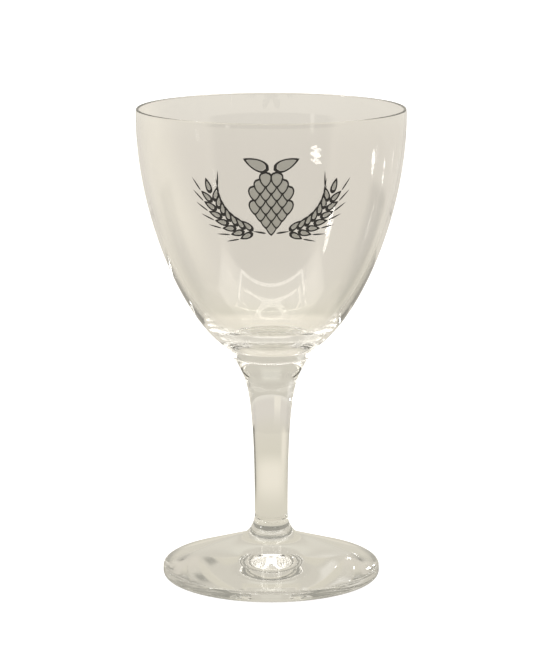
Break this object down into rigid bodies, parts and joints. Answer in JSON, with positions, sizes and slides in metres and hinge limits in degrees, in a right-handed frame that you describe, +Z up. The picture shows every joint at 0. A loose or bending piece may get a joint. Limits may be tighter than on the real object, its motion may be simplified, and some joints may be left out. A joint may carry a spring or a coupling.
{
  "type": "beer goblet",
  "caption": "Clear glass stemmed goblet for beer: thin egg-shaped bowl open at the top, small collar under it, slender tapering stem and a wide conical foot with a hollowed underside.",
  "frame": {"origin": "centre of the standing ring, on the surface that the goblet stands on", "axes": "+Z up along the goblet's axis of revolution, -Y towards the printed front of the bowl"},
  "size_m": [0.0912, 0.0912, 0.1619],
  "materials": {
    "foot_glass": "clear fire-polished soda-lime glass, faintly warm where it is thick",
    "stem_glass": "clear fire-polished soda-lime glass, faintly warm where it is thick",
    "merese_glass": "clear fire-polished soda-lime glass",
    "bowl_glass": "thin clear blown glass with a fire-polished lip",
    "print_grey": "fired silk-screen enamel, satin warm grey",
    "print_black": "fired silk-screen enamel, satin black outlines"
  },
  "bodies": {
    "root": {"foot": "foot_glass", "stem": "stem_glass", "merese": "merese_glass", "bowl": "bowl_glass"}
  },
  "joints": []
}
